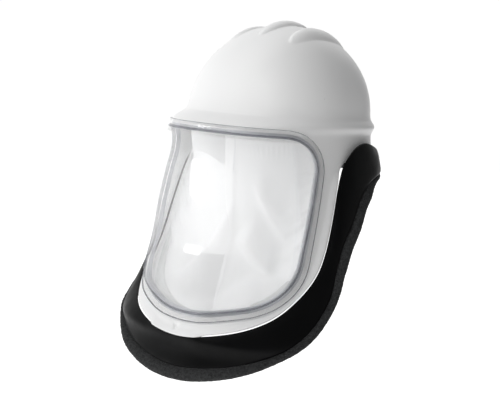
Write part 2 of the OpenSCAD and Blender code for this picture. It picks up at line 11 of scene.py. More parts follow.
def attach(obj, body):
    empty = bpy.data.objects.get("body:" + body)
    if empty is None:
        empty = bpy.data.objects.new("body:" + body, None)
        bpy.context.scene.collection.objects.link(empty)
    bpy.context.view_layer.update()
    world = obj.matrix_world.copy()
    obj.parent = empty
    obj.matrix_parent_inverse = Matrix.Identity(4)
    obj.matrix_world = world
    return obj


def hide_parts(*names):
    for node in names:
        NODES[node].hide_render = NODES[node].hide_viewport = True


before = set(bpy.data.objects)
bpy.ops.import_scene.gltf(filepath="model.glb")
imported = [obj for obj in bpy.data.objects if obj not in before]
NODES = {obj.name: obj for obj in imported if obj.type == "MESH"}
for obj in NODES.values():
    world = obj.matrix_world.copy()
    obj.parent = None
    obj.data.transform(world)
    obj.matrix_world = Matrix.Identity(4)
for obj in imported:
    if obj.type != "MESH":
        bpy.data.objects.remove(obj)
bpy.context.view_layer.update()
MM = 0.001

# ---------------------------------------------------------------- shape rules, in millimetres and degrees

DOME_SIDE, DOME_FRONT, DOME_REAR, DOME_HEIGHT = 112.0, 126.0, 129.0, 120.0
DOME_LEAN = 8.5                         # the crown's highest point sits this far back
POWER, WALL = 2.45, 3.0                 # squareness of the plan; thickness of the moulding
RIDGE_H, RIDGE_Z, RIDGE_HALF, RIDGE_FADE = 6.0, -8.0, 8.0, 0.35
RIB_PITCH, RIB_HALF, RIB_H, RIB_LONG = 47.0, 13.0, 6.5, 70.0
RIB_SIDE, RIB_END = 0.62, 0.55          # powers that round a rib's crest and its ends
FRAME_FRONT, LEDGE = 156.0, 17.0
FRAME_DEEP = 200.0                      # the height over which the frame's slopes are stated
JAW, JAW_BOW, FRONT_SLOPE, FRONT_BOW = 38.0, 0.17, 9, 13
CHIN, CHIN_START = 46.0, 100.0
HOLLOW, HOLLOW_Z, HOLLOW_HALF = 6.5, -172.0, 36.0
KICK, KICK_Z, KICK_ABOVE, KICK_BELOW = 14.0, -263.0, 24.0, 14.0
ARC, CHIN_ARC = 2.1, 3.3                # mm of face, and of chin, for one degree
RING_Z, SKIRT_TURN, SKIRT_Z = -12.0, 78.0, -52.0
TAB_TURN, TAB_DROP, LIP_FLARE = 11.5, 3.0, 2.5
INLET_SEAT, INLET_TILT, INLET_HOLE = (0, 128, 20), 15, 18.5

# stations, as degrees from the front and height, from the chin to the nape:
# the trim's upper edge, which the shell's lip follows up to station LIP_END, and its seam with the bead
TRIM_TOP = [(0, -266), (20, -255), (36, -237.5), (47, -214), (56, -187), (61, -159), (65.5, -118),
            (69, -85), (73, -61), (78.5, -45), (88, -32.5), (101, -27), (122, -36), (148, -45), (180, -48)]
TRIM_SEAM = [(0, -303), (17, -295.5), (32, -282.5), (43.5, -266), (53.5, -244), (61.5, -215), (65.5, -182),
             (70, -152), (77.5, -127), (86, -99), (97, -80), (112, -71), (132, -68), (155, -67), (180, -67)]
LIP_END = 8

# the lens's outline: three circles (x, z, radius) on the unrolled face, seen from the height CENTRE
LENS_ROUNDS = [(77.0, -61.0, 47.0), (32.5, -163.0, 78.0), (0.0, -150.5, 100.0)]
CENTRE = -120.0
ARC_POINTS, LINE_PARTS = 49, 12
FLANGE, LENS_GAP, LENS_THICK, LENS_STEP = 8.5, 1.8, 2.0, 2.5


def ease(t):
    u = np.clip(t, 0.0, 1.0)
    return u * u * (3 - 2 * u)


def plan(turn, side, reach):
    """Distance from the middle to a squarish oval."""
    a = np.radians(turn)
    return ((np.abs(np.sin(a)) / side) ** POWER + (np.abs(np.cos(a)) / reach) ** POWER) ** (-1 / POWER)


def ridge(turn, z):
    """Height of the ridge round the brow, a little lower in front."""
    fade = 1 - RIDGE_FADE * np.maximum(0, np.cos(np.radians(turn)))
    return RIDGE_H * fade * np.exp(-((z - RIDGE_Z) / RIDGE_HALF) ** 2)


def skin(turn, z, off=0.0):
    """Points on the moulding below the dome, moved outward by off."""
    turn, z, off = np.broadcast_arrays(*(np.asarray(v, float) for v in (turn, z, off)))
    f = -z / FRAME_DEEP
    side = DOME_SIDE + JAW * f * (1 - JAW_BOW * f)
    jaw = FRAME_FRONT + FRONT_SLOPE * f - FRONT_BOW * f ** 2
    jaw = jaw + CHIN * np.maximum(0, f - CHIN_START / FRAME_DEEP) ** 2
    jaw = jaw - HOLLOW * np.exp(-((z - HOLLOW_Z) / HOLLOW_HALF) ** 2)
    jaw = jaw + KICK * np.exp(-((z - KICK_Z) / np.where(z > KICK_Z, KICK_ABOVE, KICK_BELOW)) ** 2)
    front = DOME_FRONT + (jaw - DOME_FRONT) * ease(-z / LEDGE)
    a = np.radians(turn)
    reach = np.where(np.cos(a) > 0, front, DOME_REAR)
    r = plan(turn, side + off, reach + off) + ridge(turn, z)
    return np.stack([r * np.sin(a), -r * np.cos(a), z], -1)


def ribs(x, y):
    """Height of the three leaf-shaped crown ribs: a rounded crest with steep, slightly filleted sides."""
    along = 1 - ((y - DOME_LEAN) / RIB_LONG) ** 2
    half = RIB_HALF * np.sqrt(np.maximum(0.0001, along))
    out = np.zeros_like(x)
    for middle in (-RIB_PITCH, 0.0, RIB_PITCH):
        u = np.abs(x - middle) / half
        rise = np.clip(1 - u ** 2, 0, 1) ** RIB_SIDE
        out = np.maximum(out, np.where(along > 0, RIB_H * rise * np.maximum(along, 0) ** RIB_END, 0))
    return out


def dome(turn, lift, inset=0.0):
    """Points on the ribbed dome at an elevation in degrees, or on its plain inside at an inset."""
    turn, lift = np.broadcast_arrays(np.asarray(turn, float), np.asarray(lift, float))
    a, e = np.radians(turn), np.radians(lift)
    reach = np.where(np.cos(a) > 0, DOME_FRONT, DOME_REAR)
    z = (DOME_HEIGHT - inset) * np.sin(e)
    r = plan(turn, DOME_SIDE - inset, reach - inset) * np.cos(e) + ridge(turn, z)
    r = np.where(lift > 89.999, 0.0, r)         # one point at the crown
    x, y = r * np.sin(a), -r * np.cos(a) + DOME_LEAN * np.sin(e)
    return np.stack([x, y, z + (0 if inset > 0 else ribs(x, y))], -1)


def mirrored(path, i):
    """Station i of a half outline, which goes on as its mirror image past either end."""
    n = len(path) - 1
    if i < 0:
        return np.array([-path[-i][0], path[-i][1]], float)
    if i > n:
        return np.array([360 - path[2 * n - i][0], path[2 * n - i][1]], float)
    return np.array(path[i], float)


def curve(path, s):
    """A smooth curve through the stations, with s counted in stations."""
    i = min(int(math.floor(s)), len(path) - 2)
    t = s - i
    a, b, c, d = (mirrored(path, i + k) for k in (-1, 0, 1, 2))
    bend, twist = 2 * a - 5 * b + 4 * c - d, 3 * b - a - 3 * c + d
    return 0.5 * (2 * b + (c - a) * t + bend * t * t + twist * t ** 3)


def loop_curve(path, s):
    """The curve carried on past the nape, back up the other side to the chin."""
    n = len(path) - 1
    s = s % (2 * n)
    p = curve(path, 2 * n - s if s > n else s)
    return np.array([-p[0], p[1]]) if s > n else p


def lens_half(inset):
    """Half of the lens outline, wrapped round three arcs from the top down."""
    turns = [90.0]
    for (ax, az, ar), (bx, bz, br) in zip(LENS_ROUNDS, LENS_ROUNDS[1:]):
        gap = (ax - bx, az - bz)
        turns.append(math.degrees(math.atan2(gap[1], gap[0]) - math.acos((br - ar) / math.hypot(*gap))))
    turns.append(-90.0)
    pts = [(0.0, LENS_ROUNDS[0][1] + LENS_ROUNDS[0][2] - inset)]
    for (x, z, r), first, last in zip(LENS_ROUNDS, turns, turns[1:]):
        arc = [(x + (r - inset) * math.cos(math.radians(a)), z + (r - inset) * math.sin(math.radians(a)))
               for a in np.linspace(first, last, ARC_POINTS)]
        (ax, az), (bx, bz) = pts[-1], arc[0]
        pts += [(ax + (bx - ax) * k / LINE_PARTS, az + (bz - az) * k / LINE_PARTS)
                for k in range(1, LINE_PARTS)] + arc
    return pts


def polar(points):
    """An outline as directions from the lens's middle, in order, and distances."""
    return np.array(sorted((math.degrees(math.atan2(z - CENTRE, x)), math.hypot(x, z - CENTRE))
                           for x, z in points))


def lens_at(table, a):
    """Points of an outline in the directions a, as degrees from the front and height."""
    a = np.asarray(a, float)
    flip = np.abs(a) > 90
    b = np.where(flip, np.where(a > 0, 180 - a, -180 - a), a)
    r = np.interp(b, table[:, 0], table[:, 1])
    x, z = r * np.cos(np.radians(b)) / ARC, CENTRE + r * np.sin(np.radians(b))
    return np.where(flip, -x, x), z


# ---------------------------------------------------------------- mesh helpers

RIM_PARTS = 6                           # flats round the shell's rim


def add_grid(store, rows, closed=False):
    """Quads between neighbouring rows of points (rows x columns x 3, in millimetres)."""
    verts, faces = store
    g = np.asarray(rows, float)
    n, m = g.shape[0], g.shape[1]
    base = len(verts)
    verts.extend(map(tuple, g.reshape(-1, 3)))
    for i in range(n - 1):
        for j in range(m if closed else m - 1):
            k = (j + 1) % m
            faces.append((base + i * m + j, base + i * m + k, base + (i + 1) * m + k, base + (i + 1) * m + j))


def make(name, store, material, sharp=None, weld=2e-6):
    """An object in metres from points in millimetres, welded, with its faces turned outward."""
    verts, faces = store
    me = bpy.data.meshes.new(name)
    me.from_pydata([(x * MM, y * MM, z * MM) for x, y, z in verts], [], faces)
    bm = bmesh.new()
    bm.from_mesh(me)
    bmesh.ops.remove_doubles(bm, verts=bm.verts, dist=weld)
    bmesh.ops.dissolve_degenerate(bm, dist=1e-7, edges=bm.edges)
    bmesh.ops.recalc_face_normals(bm, faces=bm.faces)
    bm.to_mesh(me)
    bm.free()
    for p in me.polygons:
        p.use_smooth = True
    if sharp:
        me.set_sharp_from_angle(angle=math.radians(sharp))
    ob = bpy.data.objects.new(name, me)
    bpy.context.scene.collection.objects.link(ob)
    me.materials.append(material)
    return ob


def edge_out(pts):
    """Outward unit directions along a closed outline given as degrees and height, in millimetres of face."""
    p = np.array(pts, float)
    prev, nxt = np.roll(p, 1, 0), np.roll(p, -1, 0)
    d = nxt - prev
    d[:, 0] = (d[:, 0] + 180) % 360 - 180
    d[:, 0] *= ARC
    n = np.stack([d[:, 1], -d[:, 0]], -1)
    return n / np.maximum(np.linalg.norm(n, axis=1, keepdims=True), 1e-9)


def rounded(turn, z, out, top):
    """Rows of points that wrap from the outer skin round a rim to the inner one."""
    rows = []
    for a in (math.pi * i / RIM_PARTS for i in range(RIM_PARTS + 1)):
        e = WALL / 2 * math.sin(a)
        lift = top - WALL / 2 * (1 - math.cos(a))
        rows.append(skin(turn + out[:, 0] * e / ARC, z + out[:, 1] * e, lift))
    return rows


def chaikin(loop, times=2):
    """Cuts the corners of a closed section, so it stays inside its own outline."""
    p = np.array(loop, float)
    for _ in range(times):
        q = np.roll(p, -1, 0)
        p = np.stack([0.75 * p + 0.25 * q, 0.25 * p + 0.75 * q], 1).reshape(-1, p.shape[1])
    return p


# ---------------------------------------------------------------- materials

class Look:
    """One procedural material round a Principled shader; texture scales are per metre, in the row frame."""

    def __init__(self, name, colour, rough, metallic=0.0, spec=0.5):
        self.mat = bpy.data.materials.new(name)
        self.mat.use_nodes = True
        self.nt = self.mat.node_tree
        self.b = self.nt.nodes["Principled BSDF"]
        self.b.inputs["Base Color"].default_value = (*colour, 1)
        self.b.inputs["Roughness"].default_value = rough
        self.b.inputs["Metallic"].default_value = metallic
        self.b.inputs["Specular IOR Level"].default_value = spec
        self.mat.diffuse_color = (*colour, 1)
        self.coord = self.nt.nodes.new("ShaderNodeTexCoord").outputs["Object"]
        self.height = None                      # the last bump, which the next one builds on

    def node(self, kind, **values):
        n = self.nt.nodes.new(kind)
        for k, v in values.items():
            setattr(n, k, v)
        return n

    def link(self, a, b):
        self.nt.links.new(a, b)

    def stretched(self, scale):
        m = self.node("ShaderNodeMapping")
        m.inputs["Scale"].default_value = scale
        self.link(self.coord, m.inputs["Vector"])
        return m.outputs["Vector"]

    def noise(self, scale, detail=3.0, rough=0.55, stretch=None):
        n = self.node("ShaderNodeTexNoise")
        n.inputs["Scale"].default_value = scale
        n.inputs["Detail"].default_value = detail
        n.inputs["Roughness"].default_value = rough
        self.link(self.coord if stretch is None else self.stretched(stretch), n.inputs["Vector"])
        return n.outputs["Fac"]

    def cells(self, scale):
        n = self.node("ShaderNodeTexVoronoi")
        n.inputs["Scale"].default_value = scale
        self.link(self.coord, n.inputs["Vector"])
        return n.outputs["Distance"]

    def wave(self, scale, axis, distort):
        n = self.node("ShaderNodeTexWave", bands_direction=axis)
        n.inputs["Scale"].default_value = scale
        n.inputs["Distortion"].default_value = distort
        self.link(self.coord, n.inputs["Vector"])
        return n.outputs["Fac"]

    def math(self, op, a, b):
        n = self.node("ShaderNodeMath", operation=op)
        self.link(a, n.inputs[0])
        self.link(b, n.inputs[1])
        return n.outputs[0]

    def span(self, fac, low, high, from_low=0.3, from_high=0.7):
        n = self.node("ShaderNodeMapRange")
        n.inputs["From Min"].default_value = from_low
        n.inputs["From Max"].default_value = from_high
        n.inputs["To Min"].default_value = low
        n.inputs["To Max"].default_value = high
        self.link(fac, n.inputs["Value"])
        return n.outputs["Result"]

    def mix(self, fac, a, b):
        n = self.node("ShaderNodeMix", data_type="RGBA")
        self.link(fac, n.inputs["Factor"])
        for i, v in ((6, a), (7, b)):           # the mix node's colour sockets; 2 is its colour result
            if isinstance(v, tuple):
                n.inputs[i].default_value = (*v, 1)
            else:
                self.link(v, n.inputs[i])
        return n.outputs[2]

    def tint(self, fac, a, b):
        self.link(self.mix(fac, a, b), self.b.inputs["Base Color"])

    def rough(self, fac, low, high):
        self.link(self.span(fac, low, high), self.b.inputs["Roughness"])

    def bump(self, height, strength, distance):
        n = self.node("ShaderNodeBump")
        n.inputs["Strength"].default_value = strength
        n.inputs["Distance"].default_value = distance
        self.link(height, n.inputs["Height"])
        if self.height is not None:
            self.link(self.height, n.inputs["Normal"])
        self.height = n.outputs["Normal"]
        self.link(self.height, self.b.inputs["Normal"])

    def set(self, **values):
        for k, v in values.items():
            self.b.inputs[k.replace("_", " ")].default_value = v
        return self


def times(c, k):
    """A colour made k times as bright."""
    return tuple(min(1.0, v * k) for v in c)


def plastic(name, colour, rough, grain=900.0, strength=0.12):
    """Moulded plastic: faint mottling, spark-eroded grain, and handling marks in the gloss."""
    m = Look(name, colour, rough)
    m.tint(m.span(m.noise(9.0, 4.0), 0, 1), times(colour, 0.94), times(colour, 1.06))
    m.rough(m.noise(38.0, 5.0, 0.65), max(rough - 0.07, 0.05), rough + 0.09)
    m.bump(m.noise(grain, 2.0), strength, 0.00012)
    m.bump(m.noise(60.0, 2.0), strength * 0.5, 0.0006)
    return m


def white_shell():
    """Glossy white moulding, even in tone, under a thin clear coat."""
    m = Look("shell_white", (0.86, 0.865, 0.865), 0.3)
    m.tint(m.span(m.noise(5.0, 2.0), 0, 1), (0.862, 0.866, 0.868), (0.87, 0.87, 0.868))
    m.rough(m.noise(30.0, 6.0, 0.6), 0.33, 0.37)
    m.bump(m.noise(230.0, 2.0), 0.03, 0.0002)       # the slight orange peel of a moulding
    m.bump(m.noise(1500.0, 2.0), 0.05, 0.00006)
    return m.set(Coat_Weight=0.1, Coat_Roughness=0.2)


def clear_lens():
    """Clear sheet: mostly see-through, with a strong gloss and faint wipe marks."""
    m = Look("lens_clear", (1.0, 1.0, 1.0), 0.02)
    m.rough(m.noise(25.0, 6.0, 0.7), 0.012, 0.05)
    return m.set(Transmission_Weight=1.0, IOR=2.2, Alpha=0.16)


def painted_edge_shade(alpha):
    """Painted shade for the moulded step and the sawn rim: a dark, part see-through tint where clear plastic
    seen edge-on looks dark.
    """
    m = Look("lens_edge_painted_shade", (0.12, 0.13, 0.17), 0.12)
    m.rough(m.noise(60.0, 4.0, 0.6), 0.08, 0.2)
    return m.set(Alpha=alpha)


def rubber(name, colour, rough, spec=0.45):
    """Moulded rubber: patchy bloom and a fine grain."""
    m = Look(name, colour, rough, spec=spec)
    m.tint(m.span(m.noise(14.0, 5.0, 0.6), 0, 1), times(colour, 0.75), times(colour, 1.35))
    m.rough(m.noise(45.0, 5.0, 0.6), rough - 0.08, rough + 0.1)
    m.bump(m.noise(700.0, 3.0), 0.18, 0.00015)
    m.bump(m.noise(90.0, 3.0), 0.12, 0.0006)
    return m


def foam(name, colour, cell=650.0):
    """Granular closed-cell foam with dark pores."""
    m = Look(name, colour, 0.85, spec=0.25)
    pores = m.cells(cell)
    grain = m.noise(cell * 0.55, 4.0, 0.7)
    tone = m.mix(m.span(pores, 0, 1, 0.05, 0.75), times(colour, 1.9), times(colour, 0.45))
    m.tint(m.span(grain, 0, 1, 0.35, 0.7), tone, times(colour, 2.6))
    m.bump(pores, 0.8, 0.0009)
    m.bump(grain, 0.6, 0.0007)
    return m


def woven(name, colour, pitch, depth=0.0001):
    """Plain weave as two crossed sets of threads, tinted darker where the threads dip as painted shade, with
    slubs and faint soiling.
    """
    m = Look(name, colour, 0.8, spec=0.25)
    k = 1.0 / pitch / 3.14159 / 2               # one wave goes over one thread and under the next
    weave = m.math("MAXIMUM", m.math("MULTIPLY", m.wave(k, "X", 0.4), m.wave(k, "Z", 0.4)),
                   m.math("MULTIPLY", m.wave(k, "Y", 0.4), m.wave(k, "DIAGONAL", 0.4)))
    # painted shade: the thread colour is darker where the weave's bump is low, between the threads
    threads = m.mix(weave, times(colour, 0.9), times(colour, 1.04))
    m.tint(m.span(m.noise(16.0, 6.0, 0.65), 0, 1), threads, times(colour, 0.95))
    m.bump(weave, 0.35, depth)
    m.bump(m.noise(240.0, 4.0), 0.15, 0.0004)
    return m.set(Sheen_Weight=0.15, Sheen_Roughness=0.5)


def knit(name, colour):
    """Brushed knit over foam: short fibres and a soft nap."""
    m = Look(name, colour, 0.95, spec=0.15)
    m.tint(m.span(m.noise(420.0, 5.0, 0.75), 0, 1), times(colour, 0.6), times(colour, 1.5))
    m.bump(m.cells(900.0), 0.5, 0.0004)
    m.bump(m.noise(1400.0, 3.0), 0.5, 0.0003)
    return m.set(Sheen_Weight=0.4, Sheen_Roughness=0.6)


def webbing(name, colour):
    """Ribbed black webbing, lighter on the ribs and darker in the grooves: painted highlight and shade."""
    m = Look(name, colour, 0.7, spec=0.3)
    rib = m.math("MAXIMUM", m.wave(150.0, "X", 0.3), m.wave(150.0, "Y", 0.3))
    # painted highlight and shade: the rib pattern that drives the bump also lightens the ribs and darkens the
    # grooves
    m.tint(rib, times(colour, 0.55), times(colour, 1.6))
    m.bump(rib, 0.7, 0.0004)
    m.bump(m.noise(1800.0, 2.0), 0.3, 0.0001)
    return m.set(Sheen_Weight=0.25)


def steel(name):
    """Plated steel, brushed one way."""
    m = Look(name, (0.66, 0.67, 0.68), 0.32, metallic=1.0)
    m.rough(m.noise(300.0, 4.0, 0.6, stretch=(1, 12, 1)), 0.2, 0.48)
    m.tint(m.span(m.noise(80.0, 3.0), 0, 1), (0.58, 0.59, 0.6), (0.72, 0.72, 0.72))
    m.bump(m.noise(900.0, 2.0), 0.1, 0.00005)
    return m


SHELL = white_shell().mat
CLEAR = clear_lens().mat
# dark see-through materials that paint shade along the lens's rim and step
RIM_PAINTED_SHADE, STEP_PAINTED_SHADE = painted_edge_shade(0.5).mat, painted_edge_shade(0.35).mat
GASKET = rubber("gasket_grey", (0.5, 0.51, 0.54), 0.4).mat
TRIM = rubber("trim_rubber", (0.003, 0.0031, 0.0033), 0.4, spec=0.1).mat
BEAD = foam("bead_foam", (0.019, 0.0195, 0.02)).mat
# the faint emission stands in for the light that comes through thin cloth
SEAL = woven("seal_fabric", (0.95, 0.955, 0.96), 0.0007).set(
    Emission_Color=(1, 1, 1, 1), Emission_Strength=0.13).mat
HEM = woven("hem_fabric", (0.86, 0.86, 0.86), 0.0009, depth=0.0002).mat
RETAINER = plastic("retainer_white", (0.82, 0.83, 0.83), 0.38).mat
BAND = plastic("band_plastic", (0.035, 0.037, 0.04), 0.45).mat
PAD = knit("sweat_pad", (0.1, 0.105, 0.11)).mat
STRAP = webbing("strap_webbing", (0.035, 0.035, 0.037)).mat
BLACK = plastic("ratchet_black", (0.025, 0.025, 0.027), 0.5, grain=1400.0, strength=0.3).mat
KNOB = plastic("knob_black", (0.018, 0.018, 0.02), 0.6, grain=1800.0, strength=0.35).mat
PINION = plastic("pinion_white", (0.8, 0.8, 0.77), 0.4).mat
SCREW = steel("screw_steel").mat
INLET = plastic("inlet_black", (0.022, 0.022, 0.024), 0.42, grain=1100.0, strength=0.2).mat
WASHER = rubber("seal_rubber", (0.014, 0.014, 0.014), 0.6).mat
DUCT = plastic("duct_white", (0.8, 0.81, 0.8), 0.34).mat
FILTER = foam("filter_foam", (0.07, 0.072, 0.075), 480.0).mat
FLAP = plastic("flap_grey", (0.06, 0.062, 0.065), 0.4).mat

# ---------------------------------------------------------------- shell

STEP = 1.0                              # degrees between columns
DENT_Z, DENT_HALF, DENT_TOP, DENT_SLANT, DENT_DEEP, DENT_EDGE = -259.0, 5.4, 3.2, 0.68, 1.7, 1.6
PATCH_STEPS = (0, .03, .07, .12, .18, .25, .33, .42, .5, .57, .63, .68, .73, .78, .82, .86, .89, .92,
               .95, .975, 1)             # from the lens opening to the shell's edge


def on_tab(turn):
    """1 on the chin tab, easing to 0 just past its corner."""
    return ease((TAB_TURN + 1.5 - turn) / 3)


def shell_edge():
    """The right half of the frame patch's outer boundary with its flare, then the shell's whole lower
    edge with its outward directions and flare, and the rows of the skirt behind the ears."""
    zs = [RING_Z - k for k in range(int(RING_Z - SKIRT_Z - 1))] + [SKIRT_Z + WALL / 2]
    lip_s = np.concatenate([np.arange(LIP_END, 1.0, -1 / 16), np.arange(1.0, 0.0, -1 / 60), [0.0]])
    lip = np.array([curve(TRIM_TOP, s) for s in lip_s])
    tab = on_tab(lip[:, 0])
    lip[:, 1] -= TAB_DROP * tab
    skirt, ear = np.array([SKIRT_TURN, SKIRT_Z]), np.array(TRIM_TOP[LIP_END], float)
    join = [skirt + (ear - skirt) * k for k in (0, 0.2, 0.4, 0.6, 0.8)]
    # closed loop: chin, ear, skirt, other ear
    right = np.concatenate([join, lip])[::-1]
    back = np.array([(a, SKIRT_Z) for a in np.arange(SKIRT_TURN + STEP, 360 - SKIRT_TURN, STEP)])
    left = (right[::-1] * (-1, 1) + (360, 0))[:-1]
    loop = np.concatenate([right, back, left])
    out = edge_out(loop)
    n = len(right)
    out[n - 1] = (0, -1)
    out[n - 1 + len(back) + 1] = (0, -1)
    grow = np.zeros(len(loop))
    s_full = np.concatenate([[LIP_END + 0.6] * len(join), lip_s])[::-1]
    tab_full = np.concatenate([tab[::-1], np.zeros(len(join))])
    grow[:n] = LIP_FLARE * ease((LIP_END - s_full) / 0.8) + LIP_FLARE * tab_full
    grow[len(loop) - n + 1:] = grow[1:n][::-1]
    inner = loop - out * (WALL / 2 / np.array([ARC, 1.0]))
    front = np.array([(a, RING_Z) for a in np.arange(0, SKIRT_TURN + 0.1, STEP)])
    side = np.array([(SKIRT_TURN, z) for z in zs[1:]])
    edge = np.concatenate([front, side, inner[:n - 1][::-1]])
    amount = np.concatenate([np.zeros(len(front) + len(side)), grow[:n - 1][::-1]])
    return edge, amount, (inner, out, grow), zs


def dent(turn, z):
    """Small triangular recess pressed into the chin tab."""
    x, below = np.abs(turn) * CHIN_ARC, DENT_TOP - (z - DENT_Z)
    inside = np.minimum(DENT_HALF - x - np.maximum(below, 0) * DENT_SLANT, below)
    return -DENT_DEEP * ease(inside / DENT_EDGE)


def frame_patch(side, off, edge, amount, table):
    """Rows from the lens opening out to the shell's edge on one side, and the opening's own points."""
    rows = []
    a = np.degrees(np.arctan2(edge[:, 1] - CENTRE, edge[:, 0] * ARC))
    w_t, w_z = lens_at(table, a)
    for t in PATCH_STEPS:
        turn, z = w_t + (edge[:, 0] - w_t) * t, w_z + (edge[:, 1] - w_z) * t
        if t == 1:
            turn, z = edge[:, 0], edge[:, 1]
        lift = off + amount * ease((t - 0.6) / 0.4) + (dent(turn, z) if off == 0 else 0)
        rows.append(skin(side * turn, z, lift))
    return rows, (w_t, w_z, a)


def build_shell():
    store = ([], [])
    turns = np.arange(-180, 180, STEP)
    lifts = np.concatenate([np.arange(0, 44, 2), np.arange(44, 89.5, 0.8), [90]])
    add_grid(store, [dome(turns, e) for e in lifts], True)
    add_grid(store, [dome(turns, e, WALL) for e in np.arange(0, 90.1, 3)], True)
    for off in (0, -WALL):
        add_grid(store, [skin(turns, -z, off) for z in np.arange(0, 12.1, 1)], True)
    edge, amount, (loop, out, grow), zs = shell_edge()
    table = polar(lens_half(FLANGE + 1 - WALL / 2))
    for side in (1, -1):
        for off in (0, -WALL):
            rows, (w_t, w_z, a) = frame_patch(side, off, edge, amount, table)
            add_grid(store, rows)
        ways = -np.stack([np.cos(np.radians(a)) * side, np.sin(np.radians(a))], -1)
        add_grid(store, rounded(side * w_t, w_z, ways, 0.0))
    back = np.arange(SKIRT_TURN, 360 - SKIRT_TURN + 0.1, STEP)
    back = np.where(back > 180, back - 360, back)
    for off in (0, -WALL):
        add_grid(store, [skin(back, z, off) for z in zs])
    turn = np.where(loop[:, 0] > 180, loop[:, 0] - 360, loop[:, 0])
    add_grid(store, rounded(turn, loop[:, 1], out, grow), True)
    return make("shell_moulding", store, SHELL, sharp=50, weld=4e-6)


shell = build_shell()
# the inlet's hole through the back, bored along the inlet's axis
bpy.ops.mesh.primitive_cylinder_add(
    vertices=96, radius=INLET_HOLE * MM, depth=40 * MM, location=[v * MM for v in INLET_SEAT],
    rotation=(math.radians(-90 - INLET_TILT), 0, 0))
cutter = bpy.context.object
cut = shell.modifiers.new("inlet_hole", "BOOLEAN")
cut.operation, cut.solver, cut.object = "DIFFERENCE", "EXACT", cutter
bpy.context.view_layer.objects.active = shell
bpy.ops.object.modifier_apply(modifier=cut.name)
bpy.data.objects.remove(cutter)
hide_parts("shell")
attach(shell, "helmet")

# ---------------------------------------------------------------- lens and gasket

AROUND = np.arange(-180, 180, 1.5)      # directions of the lens's points from its middle


def band(inset, off, size=1.0):
    """One closed ring of points on the lens outline, moved in by inset or shrunk to the middle by size."""
    t, z = lens_at(polar(lens_half(inset)), AROUND)
    return skin(t * size, CENTRE + (z - CENTRE) * size, off)


def build_lens():
    """Two faces that meet at the rim: a flange, then a raised window."""
    low, high = LENS_GAP, LENS_GAP + LENS_THICK
    rim = [(0.0, 0.5), (0.25, 0.25), (0.7, 0.05), (1.2, 0.0)]
    outer = [band(i, high - LENS_THICK * d) for i, d in rim]
    inner = [band(i, low + LENS_THICK * d) for i, d in rim]
    rise = [(3, 0), (5.5, 0), (7.2, 0), (7.9, 0.06), (8.5, 0.2), (9.1, 0.42), (9.7, 0.66), (10.3, 0.86),
            (10.9, 0.97), (11.5, 1)]
    for i, u in rise:
        outer.append(band(i, high + LENS_STEP * u))
        inner.append(band(i, low + LENS_STEP * u))
    for size in (0.97, 0.92, 0.86, 0.78, 0.7, 0.6, 0.5, 0.4, 0.3, 0.2, 0.1, 0.0):
        outer.append(band(rise[-1][0], high + LENS_STEP, size))
        inner.append(band(rise[-1][0], low + LENS_STEP, size))
    store = ([], [])
    add_grid(store, outer, True)
    add_grid(store, inner, True)
    return make("lens_visor", store, CLEAR, sharp=60)


lens = build_lens()
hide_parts("lens")
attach(lens, "lens_unit")


def lens_shade_strip(name, a, b, low, high, material):
    """A thin closed band inside the lens, in a dark material that paints shade along its edge. It lies
    between the insets a and b, and between the offsets low and high at each of them."""
    store = ([], [])
    loops = [band(a, low[0]), band(a, high[0]), band(b, high[1]), band(b, low[1])]
    add_grid(store, loops + [loops[0]], True)
    ob = make(name, store, material, sharp=40)
    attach(ob, "lens_unit")


# painted shade bands for the rim and the step, each a little inside the lens's own surfaces
lens_shade_strip("lens_rim_painted_shade", 0.12, 0.7, (LENS_GAP + 0.5, LENS_GAP + 0.2),
           (LENS_GAP + 1.5, LENS_GAP + 1.8), RIM_PAINTED_SHADE)
lens_shade_strip("lens_step_painted_shade", 8.0, 10.6, (LENS_GAP + 0.3, LENS_GAP + LENS_STEP),
           (LENS_GAP + 1.6, LENS_GAP + LENS_STEP + 1.5), STEP_PAINTED_SHADE)


def build_gasket():
    """A flat strip under the lens's flange, hooked through the opening behind the frame's rim."""
    hook = FLANGE + 1.0
    section = [(5.0, 0.05), (5.0, 0.5), (5.5, 0.6), (hook + 0.5, 0.6), (hook + 1.2, 0.2),
               (hook + 1.2, -WALL - 1.4), (hook - 0.2, -WALL - 1.4), (hook - 0.2, -WALL),
               (hook, -0.2), (hook - 0.6, 0.03)]
    store = ([], [])
    loops = [band(i, o) for i, o in section]
    add_grid(store, loops + [loops[0]], True)
    return make("lens_seal_strip", store, GASKET, sharp=40)


gasket = build_gasket()
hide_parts("lens_gasket")
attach(gasket, "helmet")

# ---------------------------------------------------------------- rubber trim and foam bead

LOOP = 2 * (len(TRIM_TOP) - 1)          # stations all the way round
TRIM_DEEP, BEAD_HIGH, BEAD_DEEP = 11.0, 15, 17


def over(s):
    """How far the trim wraps over the shell's edge: 0 where it meets the lip, 1 behind the ears."""
    return ease((min(s, LOOP - s) - LIP_END) / 1.5)


def seam_out(s):
    """Outward direction at a point of the seam."""
    a, b = loop_curve(TRIM_SEAM, s - 0.05), loop_curve(TRIM_SEAM, s + 0.05)
    d = b - a
    d[0] = (d[0] + 180) % 360 - 180
    d[0] *= ARC
    n = np.array([d[1], -d[0]])
    return n / np.linalg.norm(n)


